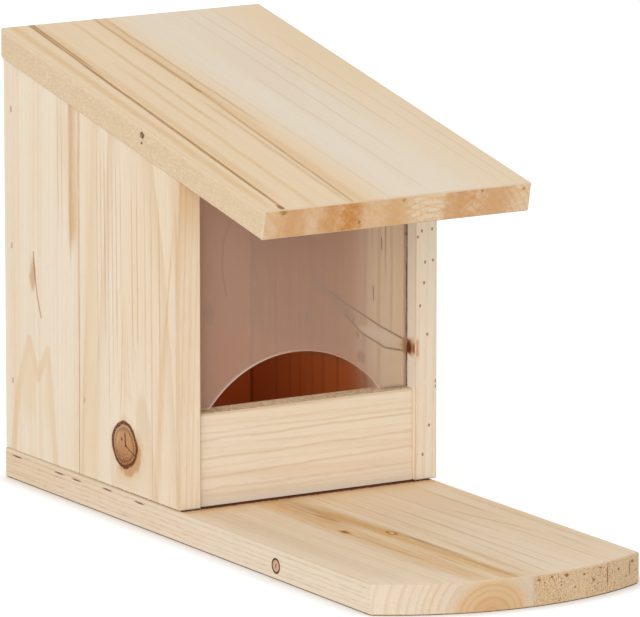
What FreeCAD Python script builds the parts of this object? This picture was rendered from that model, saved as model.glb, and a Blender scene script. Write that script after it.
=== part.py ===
import FreeCAD, Part
import math
import os
import Sketcher

# A squirrel feeder box of planed softwood boards. The box stands on the rear of a long base
# board whose bowed front end is the squirrel's platform. Two side panels, a back panel and a
# low front rail hold a clear pane that slides in saw-cut grooves. The sloping roof board is
# the lid, and it swings up on two small butt hinges screwed across the rear seam.
#
# Frame: millimetres, +X to the right of someone facing the window, +Y to the rear, +Z up.
# The origin lies on the underside of the base, on the middle line of the box, straight below
# the front edges of the side panels.

V = FreeCAD.Vector

DRIVING_SIZES = [
    ("box_width", 110.0, "outside width over the two side panels"),
    ("box_depth", 130.0, "front edges of the side panels to the rear face"),
    ("front_height", 122.0, "height of the side panels at their front edge"),
    ("roof_slope", 11.4, "fall of the roof towards the front, in degrees"),
    ("side_thick", 9.4, "thickness of the side panels"),
    ("back_thick", 11.5, "thickness of the back panel"),
    ("seam", 0.15, "open seam where two boards butt"),
    ("edge_break", 0.45, "bevel of the sanded board edges"),
    ("base_thick", 11.4, "thickness of the base board"),
    ("base_right_inset", 2.5, "the base stops this far inside the right side panel"),
    ("porch_reach", 151.5, "foremost point of the platform in front of the box"),
    ("porch_radius", 105.0, "radius of the bowed front end"),
    ("porch_arc_shift", 4.3, "the bow's centre lies this far off the middle line"),
    ("rail_thick", 9.5, "thickness of the front rail"),
    ("rail_height", 34.5, "height of the front rail"),
    ("rail_setback", 2.0, "the rail's face behind the front edges of the sides"),
    ("roof_side_reach", 0.9, "the roof stands this far out past each side panel"),
    ("roof_thick", 11.0, "thickness of the roof board"),
    ("roof_overhang", 62.8, "the roof's upper front edge in front of the box"),
    ("lid_gap", 0.2, "air between the closed roof and the walls"),
    ("groove_setback", 5.6, "front wall of the pane groove behind the side's edge"),
    ("groove_width", 2.8, "width of the pane groove"),
    ("groove_depth", 4.0, "depth of the pane groove"),
    ("pane_thick", 2.0, "thickness of the clear pane"),
    ("pane_play", 0.5, "side play of the pane in each groove"),
    ("pane_top_gap", 1.0, "air between the pane and the roof"),
    ("arch_radius", 46.0, "radius of the arch cut into the pane"),
    ("arch_rise", 18.0, "height of the arch above the rail"),
    ("arch_shift", -2.0, "the arch's centre lies this far off the middle line"),
    ("arch_bevel", 0.4, "bevel along both edges of the cut arch"),
    ("hinge_inset", 24.0, "outside of the box to the middle of a hinge"),
    ("hinge_length", 20.0, "length of a hinge along its pin"),
    ("leaf_width", 9.5, "width of a hinge leaf from the pin's axis"),
    ("leaf_thick", 0.9, "thickness of the hinge sheet"),
    ("leaf_corner", 1.2, "rounding of the leaf's outer corners"),
    ("knuckle_radius", 1.6, "outside radius of a knuckle"),
    ("knuckle_stand", 0.3, "air between a knuckle and the wood"),
    ("knuckle_gap", 0.2, "air between neighbouring knuckles"),
    ("notch_gap", 0.4, "air between a knuckle and the notched leaf"),
    ("pin_radius", 0.8, "radius of the hinge pin"),
    ("pin_clearance", 0.05, "running clearance round the pin"),
    ("pin_proud", 0.5, "the pin stands out of each end of the hinge"),
    ("pin_bevel", 0.2, "bevel round the ends of the pin"),
    ("leaf_screw_reach", 6.2, "pin's axis to the row of leaf screws"),
    ("leaf_screw_spacing", 12.0, "distance between a leaf's two screws"),
    ("leaf_screw_radius", 1.0, "shank radius of a leaf screw"),
    ("leaf_screw_head", 1.8, "head radius of a leaf screw"),
    ("leaf_screw_length", 9.0, "length of a leaf screw with its head"),
    ("recess_reach", 1.0, "each arm of the cross recess, from the head's middle"),
    ("recess_width", 0.46, "width of the cross recess"),
    ("recess_depth", 0.63, "depth of the cross recess"),
    ("screw_bite", 0.15, "a pilot hole is this much smaller in radius than its screw"),
    ("hole_ease", 0.1, "a clearance hole is this much larger in radius than its screw"),
    ("blind_spare", 0.5, "a blind hole runs this far past its screw or brad"),
    ("brad_width", 1.25, "width of a brad's flat shank"),
    ("brad_thick", 1.05, "thickness of a brad"),
    ("brad_head_width", 2.1, "width of a brad's head"),
    ("brad_head_length", 0.8, "a brad's head along the shank"),
    ("brad_point_length", 1.6, "length of a brad's chisel point"),
    ("brad_length", 25.0, "length of a side brad with its head"),
    ("base_brad_length", 30.0, "length of a base brad with its head"),
    ("brad_set", 0.5, "a brad's head is driven this far below the face"),
    ("brad_bite", 0.05, "a brad's hole is this much smaller on each side"),
    ("brad_seat_ease", 0.05, "the dent of a head is this much larger on each side"),
    ("brad_low", 26.35, "lowest side brad above the foot of the wall"),
    ("brad_top_drop", 18.6, "highest side brad below the rear top of the wall"),
    ("base_brad_inset", 24.0, "base brads behind the front and before the rear of a side"),
    ("base_brad_spread", 26.0, "rail and back brads stand this far off the middle line"),
    ("hang_radius", 2.5, "radius of the two screw holes through the back panel"),
    ("hang_low", 55.0, "lower screw hole above the ground"),
    ("hang_pitch", 70.0, "distance between the two screw holes"),
]

BRADS_PER_SIDE = 3
KNUCKLES = 3

doc = FreeCAD.newDocument("squirrel_feeder")

sheet = doc.addObject("Spreadsheet::Sheet", "Sizes")
for row, (alias, value, meaning) in enumerate(DRIVING_SIZES, start=1):
    sheet.set("A%d" % row, meaning)
    sheet.set("B%d" % row, str(value))
    sheet.setAlias("B%d" % row, alias)
doc.recompute()


# Shorthand for the places that several pieces share. Each is an expression over the sheet.

SLOPE = "tan(Sizes.roof_slope)"
INNER_HALF = "(Sizes.box_width / 2 - Sizes.side_thick)"
WALL_FOOT = "(Sizes.base_thick + Sizes.seam)"
WALL_REAR_TOP = "(Sizes.front_height - Sizes.seam + Sizes.box_depth * " + SLOPE + ")"
RAIL_TOP = "(Sizes.base_thick + Sizes.rail_height)"
ROOF_LOW_REAR = (
    "(Sizes.base_thick + Sizes.front_height + Sizes.box_depth * " + SLOPE + " + Sizes.lid_gap)"
)
BACK_MIDDLE = "(Sizes.box_depth - Sizes.back_thick / 2)"
HINGE_STAND = "(Sizes.knuckle_radius + Sizes.knuckle_stand)"
HINGE_Y = "(Sizes.box_depth + " + HINGE_STAND + ")"
HINGE_Z = "(" + ROOF_LOW_REAR + " - Sizes.lid_gap / 2)"

# A cut that leaves the material runs on this far outside it.
RUN_OUT = "1"


def size(expression):
    """The present value of an expression over the sheet."""
    return float(sheet.evalExpression(expression))


# Building blocks for sketches and features

def origin_plane(body, role):
    for feature in body.Origin.OriginFeatures:
        if feature.Role == role:
            return feature
    raise ValueError(role)


def sketch_on(body, name, role, lift="0"):
    """A sketch on one of the body's own origin planes, lifted along the plane's normal.

    The normals are +Z for XY, -Y for XZ and +X for YZ."""
    sketch = body.newObject("Sketcher::SketchObject", name)
    sketch.AttachmentSupport = [(origin_plane(body, role), "")]
    sketch.MapMode = "FlatFace"
    sketch.setExpression("AttachmentOffset.Base.z", lift)
    return sketch


def tie(sketch, kind, where, expression):
    """Adds one dimension and binds it to an expression."""
    number = sketch.addConstraint(Sketcher.Constraint(kind, *where, size(expression)))
    name = "dim%d" % number
    sketch.renameConstraint(number, name)
    sketch.setExpression("Constraints." + name, expression)


def tie_point(sketch, geometry, end, x, y):
    tie(sketch, "DistanceX", (-1, 1, geometry, end), x)
    tie(sketch, "DistanceY", (-1, 1, geometry, end), y)


def draw_outline(sketch, corners):
    """A closed outline of straight lines; each corner is a pair of expressions."""
    places = [V(size(x), size(y), 0) for x, y in corners]
    first = None
    count = len(corners)
    for i in range(count):
        line = sketch.addGeometry(Part.LineSegment(places[i], places[(i + 1) % count]))
        if first is None:
            first = line
    for i in range(count):
        following = first + (i + 1) % count
        sketch.addConstraint(Sketcher.Constraint("Coincident", first + i, 2, following, 1))
        tie_point(sketch, first + i, 1, *corners[i])


def draw_rectangle(sketch, x0, y0, x1, y1):
    draw_outline(sketch, [(x0, y0), (x1, y0), (x1, y1), (x0, y1)])


def draw_circle(sketch, x, y, radius):
    middle = V(size(x), size(y), 0)
    circle = sketch.addGeometry(Part.Circle(middle, V(0, 0, 1), size(radius)))
    tie_point(sketch, circle, 3, x, y)
    tie(sketch, "Radius", (circle,), radius)


def draw_brad_slot(sketch, x, y, long_side, grow, wide_along_y=False):
    """The outline of a brad's hole or of its head's dent, round its middle."""
    across = "(Sizes.brad_thick / 2 + " + grow + ")"
    along = "(" + long_side + " / 2 + " + grow + ")"
    half_x, half_y = (across, along) if wide_along_y else (along, across)
    draw_rectangle(
        sketch, x + " - " + half_x, y + " - " + half_y, x + " + " + half_x, y + " + " + half_y
    )


def pad(body, sketch, length, both_ways=False):
    feature = body.newObject("PartDesign::Pad", sketch.Name + "_pad")
    feature.Profile = sketch
    feature.setExpression("Length", length)
    if both_ways:
        feature.SideType = "Symmetric"
    sketch.Visibility = False
    return feature


def cut(body, sketch, depth=None):
    """Cuts against the sketch's normal, or both ways right through where no depth is given."""
    before = volume_of(body)
    feature = body.newObject("PartDesign::Pocket", sketch.Name + "_cut")
    feature.Profile = sketch
    if depth is None:
        feature.SideType = "Symmetric"
        feature.Type = "ThroughAll"
    else:
        feature.setExpression("Length", depth)
    sketch.Visibility = False
    if not volume_of(body) < before:
        raise RuntimeError(body.Label + ": " + sketch.Name + " cuts nothing")
    return feature


def countersunk_holes(body, sketch, shank, head):
    """Countersunk holes through the board, from the sketch's plane along its normal."""
    before = volume_of(body)
    feature = body.newObject("PartDesign::Hole", sketch.Name + "_holes")
    feature.Profile = sketch
    doc.recompute()
    feature.HoleCutType = "Countersink"
    feature.DepthType = "ThroughAll"
    feature.Reversed = True
    feature.HoleCutCountersinkAngle = 90
    feature.setExpression("Diameter", "2 * (" + shank + ")")
    feature.setExpression("HoleCutDiameter", "2 * (" + head + ")")
    sketch.Visibility = False
    if not volume_of(body) < before:
        raise RuntimeError(body.Label + ": " + sketch.Name + " cuts nothing")
    return feature


def volume_of(body):
    doc.recompute()
    return body.Shape.Volume


def break_edges(body, base, chosen, width="Sizes.edge_break"):
    """Bevels the edges of the base feature that the test picks by their middle and direction."""
    doc.recompute()
    names = []
    for number, edge in enumerate(base.Shape.Edges, start=1):
        middle = edge.valueAt((edge.FirstParameter + edge.LastParameter) / 2)
        run = edge.Vertexes[-1].Point - edge.Vertexes[0].Point
        if chosen(middle, run):
            names.append("Edge%d" % number)
    feature = body.newObject("PartDesign::Chamfer", base.Name + "_bevel")
    feature.Base = (base, names)
    feature.setExpression("Size", width)
    return feature


def near(a, b):
    return abs(a - b) < 0.01


def new_body(label, x="0", y="0", z="0"):
    body = doc.addObject("PartDesign::Body", label)
    body.Label = label
    body.setExpression("Placement.Base.x", x)
    body.setExpression("Placement.Base.y", y)
    body.setExpression("Placement.Base.z", z)
    return body


# Where the fasteners sit

def side_brad_heights():
    """Evenly spaced heights above the foot of the wall."""
    rise = "(" + WALL_REAR_TOP + " - Sizes.brad_top_drop - Sizes.brad_low)"
    gaps = BRADS_PER_SIDE - 1
    return ["(Sizes.brad_low + " + rise + " * %d / %d)" % (i, gaps) for i in range(gaps + 1)]


def base_brad_places():
    """The base brads as (x, y) pairs: two under each side, the rail and the back."""
    side_line = "(" + INNER_HALF + " + Sizes.side_thick / 2)"
    side_rows = ("Sizes.base_brad_inset", "(Sizes.box_depth - Sizes.base_brad_inset)")
    cross_rows = ("(Sizes.rail_setback + Sizes.rail_thick / 2)", BACK_MIDDLE)
    places = [(sign + side_line, y) for sign in ("-", "") for y in side_rows]
    places += [(sign + "Sizes.base_brad_spread", y) for sign in ("-", "") for y in cross_rows]
    return places


SEAT_DEPTH = "(Sizes.brad_set + Sizes.brad_head_length)"
BASE_BRAD_DEPTH = (
    "(Sizes.brad_set + Sizes.base_brad_length - " + WALL_FOOT + " + Sizes.blind_spare)"
)
SIDE_BRAD_DEPTH = (
    "(Sizes.brad_set + Sizes.brad_length - Sizes.side_thick - Sizes.seam + Sizes.blind_spare)"
)
LEAF_PILOT = "(Sizes.leaf_screw_radius - Sizes.screw_bite)"
LEAF_PILOT_DEPTH = "(Sizes.leaf_screw_length - Sizes.leaf_thick + Sizes.blind_spare)"
HINGE_X = "(Sizes.box_width / 2 - Sizes.hinge_inset)"


def leaf_screw_columns():
    """The x places of the leaf screws of both hinges, from the middle line."""
    half = "Sizes.leaf_screw_spacing / 2"
    return [a + HINGE_X + b + half for a in ("-", "") for b in (" - ", " + ")]


# The boards

def make_base_board():
    body = new_body("base_board")
    left = "-Sizes.box_width / 2"
    right = "(Sizes.box_width / 2 - Sizes.base_right_inset)"
    rear = "Sizes.box_depth"
    centre = ("Sizes.porch_arc_shift", "(Sizes.porch_radius - Sizes.porch_reach)")

    def on_bow(x):
        across = size(x) - size(centre[0])
        return size(centre[1]) - math.sqrt(size("Sizes.porch_radius") ** 2 - across ** 2)

    outline = sketch_on(body, "base_outline", "XY_Plane")
    rear_left = V(size(left), size(rear), 0)
    rear_right = V(size(right), size(rear), 0)
    front_left = V(size(left), on_bow(left), 0)
    front_right = V(size(right), on_bow(right), 0)
    tip = V(size(centre[0]), -size("Sizes.porch_reach"), 0)
    outline.addGeometry(Part.LineSegment(rear_left, front_left))
    outline.addGeometry(Part.Arc(front_left, tip, front_right))
    outline.addGeometry(Part.LineSegment(front_right, rear_right))
    outline.addGeometry(Part.LineSegment(rear_right, rear_left))
    bow = outline.Geometry[1]
    bow_start = 1 if (bow.StartPoint - front_left).Length < 0.01 else 2
    bow_end = 3 - bow_start
    outline.addConstraint(Sketcher.Constraint("Coincident", 0, 2, 1, bow_start))
    outline.addConstraint(Sketcher.Constraint("Coincident", 1, bow_end, 2, 1))
    outline.addConstraint(Sketcher.Constraint("Coincident", 2, 2, 3, 1))
    outline.addConstraint(Sketcher.Constraint("Coincident", 3, 2, 0, 1))
    outline.addConstraint(Sketcher.Constraint("Vertical", 0))
    outline.addConstraint(Sketcher.Constraint("Vertical", 2))
    tie_point(outline, 3, 1, right, rear)
    tie_point(outline, 3, 2, left, rear)
    tie_point(outline, 1, 3, *centre)
    tie(outline, "Radius", (1,), "Sizes.porch_radius")
    slab = pad(body, outline, "Sizes.base_thick")
    break_edges(body, slab, lambda middle, run: near(run.z, 0))

    holes = sketch_on(body, "base_brad_holes", "XY_Plane")
    seats = sketch_on(body, "base_brad_seats", "XY_Plane", SEAT_DEPTH)
    for x, y in base_brad_places():
        draw_brad_slot(holes, x, y, "Sizes.brad_width", "-Sizes.brad_bite")
        draw_brad_slot(seats, x, y, "Sizes.brad_head_width", "Sizes.brad_seat_ease")
    cut(body, holes)
    cut(body, seats, SEAT_DEPTH)
    return body


def make_side(label, hand):
    """One side panel; hand is -1 for the left and +1 for the right."""
    inner_face = "Sizes.side_thick" if hand < 0 else "Sizes.groove_depth"
    outer_face = SEAT_DEPTH if hand < 0 else "Sizes.side_thick"
    origin_x = "-Sizes.box_width / 2" if hand < 0 else INNER_HALF
    body = new_body(label, origin_x, "0", WALL_FOOT)
    front_top = "(Sizes.front_height - Sizes.seam)"

    profile = sketch_on(body, label + "_profile", "YZ_Plane")
    draw_outline(profile, [
        ("0", "0"),
        ("Sizes.box_depth", "0"),
        ("Sizes.box_depth", WALL_REAR_TOP),
        ("0", front_top),
    ])
    panel = pad(body, profile, "Sizes.side_thick")
    thick = size("Sizes.side_thick")
    outer_x = 0 if hand < 0 else thick
    break_edges(body, panel, lambda middle, run: (
        near(run.x, 0) and near(run.y, 0) and (near(middle.x, outer_x) or near(middle.y, 0))
    ))

    groove = sketch_on(body, label + "_groove", "YZ_Plane", inner_face)
    draw_rectangle(
        groove, "Sizes.groove_setback", "-" + RUN_OUT,
        "Sizes.groove_setback + Sizes.groove_width", WALL_REAR_TOP
    )
    cut(body, groove, "Sizes.groove_depth")

    holes = sketch_on(body, label + "_brad_holes", "YZ_Plane")
    seats = sketch_on(body, label + "_brad_seats", "YZ_Plane", outer_face)
    for height in side_brad_heights():
        place = (BACK_MIDDLE, height)
        draw_brad_slot(holes, *place, "Sizes.brad_width", "-Sizes.brad_bite", True)
        draw_brad_slot(seats, *place, "Sizes.brad_head_width", "Sizes.brad_seat_ease", True)
    cut(body, holes)
    cut(body, seats, SEAT_DEPTH)

    foot_holes = sketch_on(body, label + "_foot_holes", "XY_Plane", BASE_BRAD_DEPTH)
    for y in ("Sizes.base_brad_inset", "(Sizes.box_depth - Sizes.base_brad_inset)"):
        draw_brad_slot(
            foot_holes, "Sizes.side_thick / 2", y, "Sizes.brad_width", "-Sizes.brad_bite"
        )
    cut(body, foot_holes, BASE_BRAD_DEPTH)
    return body


def cut_cross_foot_holes(body, name, middle):
    """The two base brads' holes in the foot of the rail or of the back panel."""
    holes = sketch_on(body, name, "XY_Plane", BASE_BRAD_DEPTH)
    for sign in ("-", ""):
        x = sign + "Sizes.base_brad_spread"
        draw_brad_slot(holes, x, middle, "Sizes.brad_width", "-Sizes.brad_bite")
    cut(body, holes, BASE_BRAD_DEPTH)


def make_back_panel():
    """The back panel stands between the sides, with its top planed to the roof's slope."""
    body = new_body("back_panel", "0", "Sizes.box_depth - Sizes.back_thick", WALL_FOOT)
    half = "(" + INNER_HALF + " - Sizes.seam)"
    profile = sketch_on(body, "back_profile", "YZ_Plane")
    draw_outline(profile, [
        ("0", "0"),
        ("Sizes.back_thick", "0"),
        ("Sizes.back_thick", WALL_REAR_TOP),
        ("0", "(" + WALL_REAR_TOP + " - Sizes.back_thick * " + SLOPE + ")"),
    ])
    pad(body, profile, "2 * " + half, both_ways=True)

    hang_holes = sketch_on(body, "back_hang_holes", "XZ_Plane")
    for height in ("Sizes.hang_low", "(Sizes.hang_low + Sizes.hang_pitch)"):
        draw_circle(hang_holes, "0", height + " - " + WALL_FOOT, "Sizes.hang_radius")
    cut(body, hang_holes)

    for lift in ("-" + half + " + " + SIDE_BRAD_DEPTH, half):
        holes = sketch_on(body, "back_brad_holes", "YZ_Plane", lift)
        for height in side_brad_heights():
            draw_brad_slot(
                holes, "Sizes.back_thick / 2", height, "Sizes.brad_width", "-Sizes.brad_bite", True
            )
        cut(body, holes, SIDE_BRAD_DEPTH)

    leaf_pilots = sketch_on(
        body, "back_leaf_pilots", "XZ_Plane", LEAF_PILOT_DEPTH + " - Sizes.back_thick"
    )
    screw_row = "(" + HINGE_Z + " - " + WALL_FOOT + " - Sizes.leaf_screw_reach)"
    for x in leaf_screw_columns():
        draw_circle(leaf_pilots, x, screw_row, LEAF_PILOT)
    cut(body, leaf_pilots, LEAF_PILOT_DEPTH)

    cut_cross_foot_holes(body, "back_foot_holes", "Sizes.back_thick / 2")
    return body


def make_front_rail():
    body = new_body("front_rail", "0", "Sizes.rail_setback", WALL_FOOT)
    half = "(" + INNER_HALF + " - Sizes.seam)"
    plan = sketch_on(body, "rail_plan", "XY_Plane")
    draw_rectangle(plan, "-" + half, "0", half, "Sizes.rail_thick")
    slab = pad(body, plan, "Sizes.rail_height - Sizes.seam")
    top = size("Sizes.rail_height - Sizes.seam")
    break_edges(body, slab, lambda middle, run: near(run.y, 0) and near(middle.z, top))

    cut_cross_foot_holes(body, "rail_foot_holes", "Sizes.rail_thick / 2")
    return body


def make_window_pane():
    """The clear pane stands on the rail, and its lower edge is cut to a low arch."""
    middle_y = "Sizes.groove_setback + Sizes.groove_width / 2"
    body = new_body("window_pane", "0", middle_y, RAIL_TOP)
    half = "(" + INNER_HALF + " + Sizes.groove_depth - Sizes.pane_play)"
    height = (
        "(Sizes.front_height + Sizes.groove_setback * " + SLOPE
        + " + Sizes.lid_gap - Sizes.rail_height - Sizes.pane_top_gap)"
    )
    centre = ("Sizes.arch_shift", "(Sizes.arch_rise - Sizes.arch_radius)")
    foot = "sqrt(Sizes.arch_radius ^ 2 - (Sizes.arch_radius - Sizes.arch_rise) ^ 2)"
    left_foot = size("Sizes.arch_shift - " + foot)
    right_foot = size("Sizes.arch_shift + " + foot)

    face = sketch_on(body, "pane_face", "XZ_Plane")
    wide = size(half)
    tall = size(height)
    corners = [
        V(left_foot, 0, 0), V(-wide, 0, 0), V(-wide, tall, 0),
        V(wide, tall, 0), V(wide, 0, 0), V(right_foot, 0, 0),
    ]
    for start, end in zip(corners, corners[1:]):
        face.addGeometry(Part.LineSegment(start, end))
    crown = V(size("Sizes.arch_shift"), size("Sizes.arch_rise"), 0)
    face.addGeometry(Part.Arc(corners[-1], crown, corners[0]))
    arch = 5
    arch_start = 1 if (face.Geometry[arch].StartPoint - corners[-1]).Length < 0.01 else 2
    for line in range(4):
        face.addConstraint(Sketcher.Constraint("Coincident", line, 2, line + 1, 1))
    face.addConstraint(Sketcher.Constraint("Coincident", 4, 2, arch, arch_start))
    face.addConstraint(Sketcher.Constraint("Coincident", arch, 3 - arch_start, 0, 1))
    face.addConstraint(Sketcher.Constraint("Horizontal", 0))
    face.addConstraint(Sketcher.Constraint("Horizontal", 4))
    tie_point(face, 1, 1, "-" + half, "0")
    tie_point(face, 1, 2, "-" + half, height)
    tie_point(face, 2, 2, half, height)
    tie_point(face, 3, 2, half, "0")
    tie_point(face, arch, 3, *centre)
    tie(face, "Radius", (arch,), "Sizes.arch_radius")
    sheet_of_plastic = pad(body, face, "Sizes.pane_thick", both_ways=True)
    rise = size("Sizes.arch_rise")
    break_edges(
        body, sheet_of_plastic,
        lambda middle, run: near(middle.z, rise) and not near(run.x, 0),
        "Sizes.arch_bevel",
    )
    return body


def make_roof_board():
    """The roof board is the lid. Its rear end is cut upright, flush with the back panel."""
    body = new_body("roof_board", "0", "Sizes.box_depth", ROOF_LOW_REAR)
    run = "(Sizes.box_depth + Sizes.roof_overhang)"
    rear_rise = "Sizes.roof_thick / cos(Sizes.roof_slope)"
    low_run = "(" + run + " - Sizes.roof_thick * sin(Sizes.roof_slope))"
    profile = sketch_on(body, "roof_profile", "YZ_Plane")
    draw_outline(profile, [
        ("0", "0"),
        ("0", rear_rise),
        ("-" + run, rear_rise + " - " + run + " * " + SLOPE),
        ("-" + low_run, "-" + low_run + " * " + SLOPE),
    ])
    board = pad(body, profile, "Sizes.box_width + 2 * Sizes.roof_side_reach", both_ways=True)
    break_edges(body, board, lambda middle, run: True)

    leaf_pilots = sketch_on(body, "roof_leaf_pilots", "XZ_Plane", LEAF_PILOT_DEPTH)
    screw_row = "(" + HINGE_Z + " + Sizes.leaf_screw_reach - " + ROOF_LOW_REAR + ")"
    for x in leaf_screw_columns():
        draw_circle(leaf_pilots, x, screw_row, LEAF_PILOT)
    cut(body, leaf_pilots, LEAF_PILOT_DEPTH)
    return body


# The hinges: knuckled leaves, a pin, and countersunk screws

def knuckle_span(number):
    """Where one knuckle starts and ends along the pin, as expressions."""
    pitch = "Sizes.hinge_length / %d" % KNUCKLES
    start = "(-Sizes.hinge_length / 2 + %d * %s)" % (number, pitch)
    end = "(-Sizes.hinge_length / 2 + %d * %s)" % (number + 1, pitch)
    return start, end


def make_leaf(label, x, up):
    """One hinge leaf; up is +1 on the roof and -1 on the back panel.

    The sheet lies flat on the wood and joins its knuckles, which stand round the pin. The
    back panel's leaf has the outer knuckles and the roof's leaf the ones between them."""
    body = new_body(label, x, HINGE_Y, HINGE_Z)
    outer_end = ("" if up > 0 else "-") + "Sizes.leaf_width"
    sheet_lift = "(" + HINGE_STAND + " - Sizes.leaf_thick)"
    half = "Sizes.hinge_length / 2"

    flat = sketch_on(body, label + "_flat", "XZ_Plane", sheet_lift)
    low, high = ("0", outer_end) if up > 0 else (outer_end, "0")
    draw_rectangle(flat, "-" + half, low, half, high)
    plate = pad(body, flat, "Sizes.leaf_thick")
    edge_z = size(outer_end)
    doc.recompute()
    corners = []
    for number, edge in enumerate(plate.Shape.Edges, start=1):
        run = edge.Vertexes[-1].Point - edge.Vertexes[0].Point
        middle = edge.valueAt((edge.FirstParameter + edge.LastParameter) / 2)
        if near(run.x, 0) and near(run.z, 0) and near(middle.z, edge_z):
            corners.append("Edge%d" % number)
    rounding = body.newObject("PartDesign::Fillet", label + "_corners")
    rounding.Base = (plate, corners)
    rounding.setExpression("Radius", "Sizes.leaf_corner")
    doc.recompute()

    barrel = sketch_on(body, label + "_barrel", "YZ_Plane")
    draw_circle(barrel, "0", "0", "Sizes.knuckle_radius")
    pad(body, barrel, "Sizes.hinge_length", both_ways=True)

    notches = sketch_on(body, label + "_notches", "XZ_Plane")
    reach = "(Sizes.knuckle_radius + Sizes.notch_gap)"
    first_foreign = 0 if up > 0 else 1
    for number in range(first_foreign, KNUCKLES, 2):
        start, end = knuckle_span(number)
        before = RUN_OUT if number == 0 else "Sizes.knuckle_gap / 2"
        after = RUN_OUT if number == KNUCKLES - 1 else "Sizes.knuckle_gap / 2"
        draw_rectangle(
            notches, "(" + start + " - " + before + ")", "-" + reach,
            "(" + end + " + " + after + ")", reach
        )
    cut(body, notches)

    bore = sketch_on(body, label + "_bore", "YZ_Plane")
    draw_circle(bore, "0", "0", "Sizes.pin_radius + Sizes.pin_clearance")
    cut(body, bore)

    marks = sketch_on(body, label + "_screw_marks", "XZ_Plane", sheet_lift)
    row = ("" if up > 0 else "-") + "Sizes.leaf_screw_reach"
    for side in ("-", ""):
        draw_circle(marks, side + "Sizes.leaf_screw_spacing / 2", row, "Sizes.leaf_screw_radius")
    countersunk_holes(
        body, marks, "Sizes.leaf_screw_radius + Sizes.hole_ease",
        "Sizes.leaf_screw_head + Sizes.hole_ease"
    )
    return body


def make_pin(label, x):
    body = new_body(label, x, HINGE_Y, HINGE_Z)
    section = sketch_on(body, label + "_section", "YZ_Plane")
    draw_circle(section, "0", "0", "Sizes.pin_radius")
    rod = pad(body, section, "Sizes.hinge_length + 2 * Sizes.pin_proud", both_ways=True)
    break_edges(body, rod, lambda middle, run: near(run.x, 0), "Sizes.pin_bevel")
    return body


def make_screw(label, place, direction):
    """A small countersunk wood screw with a cross recess; its head is at the place given."""
    radius = "Sizes.leaf_screw_radius"
    head = "Sizes.leaf_screw_head"
    length = "Sizes.leaf_screw_length"
    body = new_body(label, *place)
    body.Placement.Rotation = FreeCAD.Rotation(V(0, 0, 1), direction)
    profile = sketch_on(body, label + "_profile", "XZ_Plane")
    draw_outline(profile, [
        ("0", "0"),
        (head, "0"),
        (radius, "-(" + head + " - " + radius + ")"),
        (radius, "-(" + length + " - 2 * " + radius + ")"),
        ("0", "-" + length),
    ])
    turned = body.newObject("PartDesign::Revolution", label + "_turned")
    turned.Profile = profile
    turned.ReferenceAxis = (profile, ["V_Axis"])
    turned.Angle = 360
    profile.Visibility = False

    arm = "Sizes.recess_reach"
    half = "(Sizes.recess_width / 2)"
    recess = sketch_on(body, label + "_recess", "XY_Plane")
    draw_outline(recess, [
        (half, half), (arm, half), (arm, "-" + half), (half, "-" + half),
        (half, "-" + arm), ("-" + half, "-" + arm), ("-" + half, "-" + half),
        ("-" + arm, "-" + half), ("-" + arm, half), ("-" + half, half),
        ("-" + half, arm), (half, arm),
    ])
    cut(body, recess, "Sizes.recess_depth")
    return body


def make_brad(label, place, direction, length):
    """A flat-wire brad: a T head, a straight shank and a chisel point."""
    body = new_body(label, *place)
    body.Placement.Rotation = FreeCAD.Rotation(V(0, 0, 1), direction)
    head = "Sizes.brad_head_width / 2"
    neck = "-Sizes.brad_head_length"
    half = "Sizes.brad_width / 2"
    shoulder = "-(" + length + " - Sizes.brad_point_length)"
    profile = sketch_on(body, label + "_profile", "XZ_Plane")
    draw_outline(profile, [
        ("-" + head, "0"), (head, "0"), (head, neck), (half, neck), (half, shoulder),
        ("0", "-" + length),
        ("-" + half, shoulder), ("-" + half, neck), ("-" + head, neck),
    ])
    pad(body, profile, "Sizes.brad_thick", both_ways=True)
    return body


def group(label, pieces):
    """Several like fasteners as one sub-part of separate solids."""
    compound = doc.addObject("Part::Compound", label)
    compound.Label = label
    compound.Links = pieces
    return compound


def make_leaf_screws(label, hinge_x, up):
    row = "(" + HINGE_Z + (" + " if up > 0 else " - ") + "Sizes.leaf_screw_reach)"
    face = "(Sizes.box_depth + Sizes.leaf_thick)"
    pieces = []
    for number, side in enumerate((" - ", " + "), start=1):
        x = "(" + hinge_x + side + "Sizes.leaf_screw_spacing / 2)"
        name = "%s_%d" % (label, number)
        pieces.append(make_screw(name, (x, face, row), V(0, 1, 0)))
    return group(label, pieces)


def make_side_brads(label, hand):
    sign = "-" if hand < 0 else ""
    x = sign + "(Sizes.box_width / 2 - Sizes.brad_set)"
    pieces = []
    for number, height in enumerate(side_brad_heights(), start=1):
        place = (x, BACK_MIDDLE, "(" + height + " + " + WALL_FOOT + ")")
        name = "%s_%d" % (label, number)
        pieces.append(make_brad(name, place, V(hand, 0, 0), "Sizes.brad_length"))
    return group(label, pieces)


def make_base_brads(label):
    pieces = []
    for number, (x, y) in enumerate(base_brad_places(), start=1):
        place = (x, y, "Sizes.brad_set")
        name = "%s_%d" % (label, number)
        pieces.append(make_brad(name, place, V(0, 0, -1), "Sizes.base_brad_length"))
    return group(label, pieces)


# Putting the feeder together

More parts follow.
